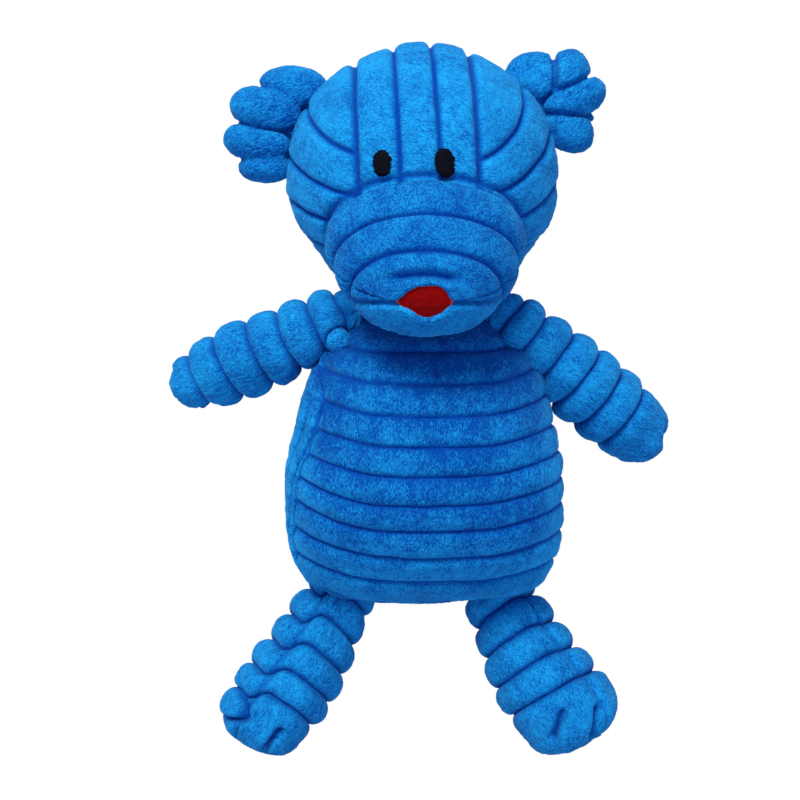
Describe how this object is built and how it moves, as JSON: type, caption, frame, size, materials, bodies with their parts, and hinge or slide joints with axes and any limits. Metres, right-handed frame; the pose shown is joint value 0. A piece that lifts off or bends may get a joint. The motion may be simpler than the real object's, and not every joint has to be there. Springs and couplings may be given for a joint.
{
  "type": "squeaky plush dog toy",
  "caption": "Floppy stuffed animal of wide-wale corduroy with ringed limbs, cupped ears, a domed muzzle and a squeaker in its belly, lying on its back.",
  "frame": {"origin": "centre of the bounding box at its bottom, on the surface that the toy lies on", "axes": "+Z from the toy's back up through its face, +Y from its feet to the crown of its head, +X to the right in the picture"},
  "size_m": [0.2014, 0.2813, 0.1069],
  "materials": {
    "corduroy": "short fuzzy pile in wide ribs",
    "stuffing": "white polyester fibre",
    "eye_thread": "satin-stitched black thread",
    "red_felt": "matte felt",
    "bulb_plastic": "soft translucent white",
    "reed_plastic": "smooth moulded"
  },
  "bodies": {
    "torso": {"body_front_panel": "corduroy", "body_back_panel": "corduroy", "belly_stuffing_front": "stuffing", "belly_stuffing_back": "stuffing", "neck_stuffing": "stuffing", "squeaker_bulb": "bulb_plastic"},
    "squeaker_plug": {"reed_housing": "reed_plastic", "reed_clamp": "reed_plastic", "reed_strip": "reed_plastic"},
    "head": {"forehead_gusset": "corduroy", "left_cheek_panel": "corduroy", "right_cheek_panel": "corduroy", "head_back_panel": "corduroy", "head_stuffing": "stuffing", "muzzle_panel": "corduroy", "chin_panel": "corduroy", "muzzle_stuffing": "stuffing", "mouth_felt": "red_felt", "left_eye": "eye_thread", "right_eye": "eye_thread"},
    "left_ear": {"left_ear_front": "corduroy", "left_ear_back": "corduroy"},
    "right_ear": {"right_ear_front": "corduroy", "right_ear_back": "corduroy"},
    "left_arm": {"left_arm_cover": "corduroy", "left_arm_stuffing": "stuffing"},
    "right_arm": {"right_arm_cover": "corduroy", "right_arm_stuffing": "stuffing"},
    "left_leg": {"left_leg_cover": "corduroy", "left_leg_stuffing": "stuffing"},
    "right_leg": {"right_leg_cover": "corduroy", "right_leg_stuffing": "stuffing"}
  },
  "joints": [
    {"name": "squeeze", "type": "slide", "parent": "torso", "child": "squeaker_plug", "axis": [0, 0, -1], "range_m": [0, 0.009], "stiffness_N_per_m": 300, "deforming": ["squeaker_bulb"]},
    {"name": "neck_nod", "type": "hinge", "parent": "torso", "child": "head", "pos_m": [0, 0.05, 0.038], "axis": [1, 0, 0], "range_deg": [-10, 10], "stiffness_Nm_per_rad": 0.08},
    {"name": "left_ear_flop", "type": "hinge", "parent": "head", "child": "left_ear", "pos_m": [-0.04713, 0.11413, 0.044], "axis": [0.4368, 0.8996, 0], "range_deg": [-12, 12], "stiffness_Nm_per_rad": 0.004},
    {"name": "right_ear_flop", "type": "hinge", "parent": "head", "child": "right_ear", "pos_m": [0.04548, 0.11724, 0.044], "axis": [0.4999, -0.8661, 0], "range_deg": [-12, 12], "stiffness_Nm_per_rad": 0.004},
    {"name": "left_arm_hug", "type": "hinge", "parent": "torso", "child": "left_arm", "pos_m": [-0.034, 0.0395, 0.045], "axis": [0, 1, 0], "range_deg": [-12, 60], "stiffness_Nm_per_rad": 0.03},
    {"name": "right_arm_hug", "type": "hinge", "parent": "torso", "child": "right_arm", "pos_m": [0.0355, 0.038, 0.045], "axis": [0, -1, 0], "range_deg": [-12, 60], "stiffness_Nm_per_rad": 0.03},
    {"name": "left_leg_fold", "type": "hinge", "parent": "torso", "child": "left_leg", "pos_m": [-0.035, -0.074, 0.023], "axis": [-1, 0, 0], "range_deg": [-5, 50], "stiffness_Nm_per_rad": 0.03},
    {"name": "right_leg_fold", "type": "hinge", "parent": "torso", "child": "right_leg", "pos_m": [0.0345, -0.074, 0.023], "axis": [-1, 0, 0], "range_deg": [-5, 50], "stiffness_Nm_per_rad": 0.03}
  ]
}
